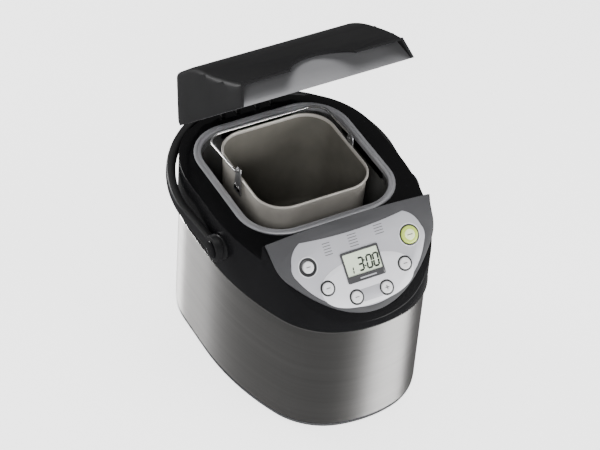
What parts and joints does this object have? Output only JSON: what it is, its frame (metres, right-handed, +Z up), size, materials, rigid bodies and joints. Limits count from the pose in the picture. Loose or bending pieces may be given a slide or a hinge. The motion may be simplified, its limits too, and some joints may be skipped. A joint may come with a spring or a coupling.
{
  "type": "bread machine",
  "caption": "Countertop bread machine with a steel body, hinged lid standing open, oven chamber with lift-out pan and kneading paddle, sloping control panel and folding carry handle.",
  "frame": {"origin": "centre of the footprint box at table level, under the middle of the feet", "axes": "+X to the machine's right seen from the front, +Y to its back, +Z up; the control panel faces -Y"},
  "size_m": [0.3, 0.3893, 0.4424],
  "materials": {
    "charcoal_plastic": "satin moulded charcoal",
    "black_gloss": "gloss black moulding",
    "black_plastic": "satin black moulding",
    "brushed_steel": "vertical brushed finish",
    "rim_grey": "satin grey with a bright inner edge",
    "rubber_black": "matt",
    "silver_overlay": "silver film",
    "display_dark": "gloss",
    "display_glass": "clear",
    "display_green": "grey-green liquid crystal",
    "button_white": "pale grey",
    "button_green": "yellow-green",
    "ring_dark": "printed ring",
    "board_green": "circuit laminate",
    "chamber_steel": "dark non-stick coating",
    "bare_steel": "bright steel",
    "heater_steel": "dulled tube",
    "zinc_plate": "zinc plated",
    "pan_coating": "warm grey non-stick coating",
    "lid_silver": "satin silver",
    "liner_alu": "pressed sheet",
    "silicone_grey": "soft",
    "bronze": "sintered bearing",
    "pulley_nylon": "natural nylon",
    "motor_metal": "motor can",
    "transformer_iron": "laminated iron"
  },
  "bodies": {
    "root": {"base_plate": "black_plastic", "bearing_bridge": "zinc_plate", "board_posts": "black_plastic", "button_rings": "ring_dark", "chamber_rim": "rim_grey", "circuit_board": "board_green", "control_panel": "charcoal_plastic", "cord_gland": "black_plastic", "display_bezel": "display_dark", "display_lens": "display_glass", "display_module": "display_green", "drive_bearing": "bronze", "drive_belt": "rubber_black", "handle_pivots": "black_plastic", "heating_element": "heater_steel", "hinge_lugs": "black_plastic", "hinge_pins": "bare_steel", "motor": "motor_metal", "motor_posts": "zinc_plate", "oven_chamber": "chamber_steel", "pan_socket": "zinc_plate", "panel_overlay": "silver_overlay", "power_board": "board_green", "power_board_posts": "black_plastic", "rubber_feet": "rubber_black", "steel_wrap": "brushed_steel", "temperature_sensor": "bare_steel", "transformer": "transformer_iron", "upper_housing": "black_gloss"},
    "lid": {"lid_shell": "charcoal_plastic", "lid_front_wall": "lid_silver", "lid_liner": "liner_alu", "lid_seal": "silicone_grey", "lid_hinge_knuckles": "black_plastic"},
    "handle": {"carry_handle": "black_plastic", "handle_pivot_caps": "black_plastic"},
    "pan": {"bread_pan": "pan_coating", "pan_foot_ring": "zinc_plate", "pan_lugs": "zinc_plate", "pan_rivets": "bare_steel"},
    "bail": {"pan_bail": "bare_steel"},
    "paddle": {"kneading_shaft": "bare_steel", "pan_coupling": "zinc_plate", "kneading_paddle": "pan_coating"},
    "drive": {"drive_shaft": "bare_steel", "drive_coupling": "zinc_plate", "large_pulley": "pulley_nylon"},
    "rotor": {"motor_shaft": "bare_steel", "motor_pulley": "zinc_plate"},
    "button_crust": {"button_crust": "button_white"},
    "button_minus": {"button_minus": "button_white"},
    "button_plus": {"button_plus": "button_white"},
    "button_timer": {"button_timer": "button_white"},
    "button_menu": {"button_menu": "button_white"},
    "button_start": {"button_start": "button_green"}
  },
  "joints": [
    {"name": "lid_hinge", "type": "hinge", "parent": "root", "child": "lid", "pos_m": [0, 0.1561, 0.2505], "axis": [-1, 0, 0], "range_deg": [-43.3, 41]},
    {"name": "handle_swing", "type": "hinge", "parent": "root", "child": "handle", "pos_m": [0, -0.03, 0.206], "axis": [-1, 0, 0], "range_deg": [-8, 0]},
    {"name": "pan_lift", "type": "slide", "parent": "root", "child": "pan", "axis": [0, 0, 1], "range_m": [0, 0.09]},
    {"name": "bail_swing", "type": "hinge", "parent": "pan", "child": "bail", "pos_m": [0, 0.0274, 0.262], "axis": [1, 0, 0], "range_deg": [0, 191]},
    {"name": "drive_spin", "type": "hinge", "parent": "root", "child": "drive", "pos_m": [0, 0.0274, 0.07], "axis": [0, 0, 1], "continuous": true},
    {"name": "paddle_spin", "type": "hinge", "parent": "pan", "child": "paddle", "pos_m": [0, 0.0274, 0.12], "axis": [0, 0, 1], "continuous": true},
    {"name": "motor_spin", "type": "hinge", "parent": "root", "child": "rotor", "pos_m": [0.04, -0.11, 0.05], "axis": [0, 0, 1], "continuous": true},
    {"name": "press_crust", "type": "slide", "parent": "root", "child": "button_crust", "axis": [0, 0.682, -0.7314], "range_m": [0, 0.0015], "stiffness_N_per_m": 400},
    {"name": "press_minus", "type": "slide", "parent": "root", "child": "button_minus", "axis": [0, 0.682, -0.7314], "range_m": [0, 0.0015], "stiffness_N_per_m": 400},
    {"name": "press_plus", "type": "slide", "parent": "root", "child": "button_plus", "axis": [0, 0.682, -0.7314], "range_m": [0, 0.0015], "stiffness_N_per_m": 400},
    {"name": "press_timer", "type": "slide", "parent": "root", "child": "button_timer", "axis": [0, 0.682, -0.7314], "range_m": [0, 0.0015], "stiffness_N_per_m": 400},
    {"name": "press_menu", "type": "slide", "parent": "root", "child": "button_menu", "axis": [0, 0.682, -0.7314], "range_m": [0, 0.0015], "stiffness_N_per_m": 400},
    {"name": "press_start", "type": "slide", "parent": "root", "child": "button_start", "axis": [0, 0.682, -0.7314], "range_m": [0, 0.0015], "stiffness_N_per_m": 400}
  ],
  "couplings": [
    {"joint": "paddle_spin", "follows": "drive_spin", "ratio": 1},
    {"joint": "motor_spin", "follows": "drive_spin", "ratio": 5}
  ]
}
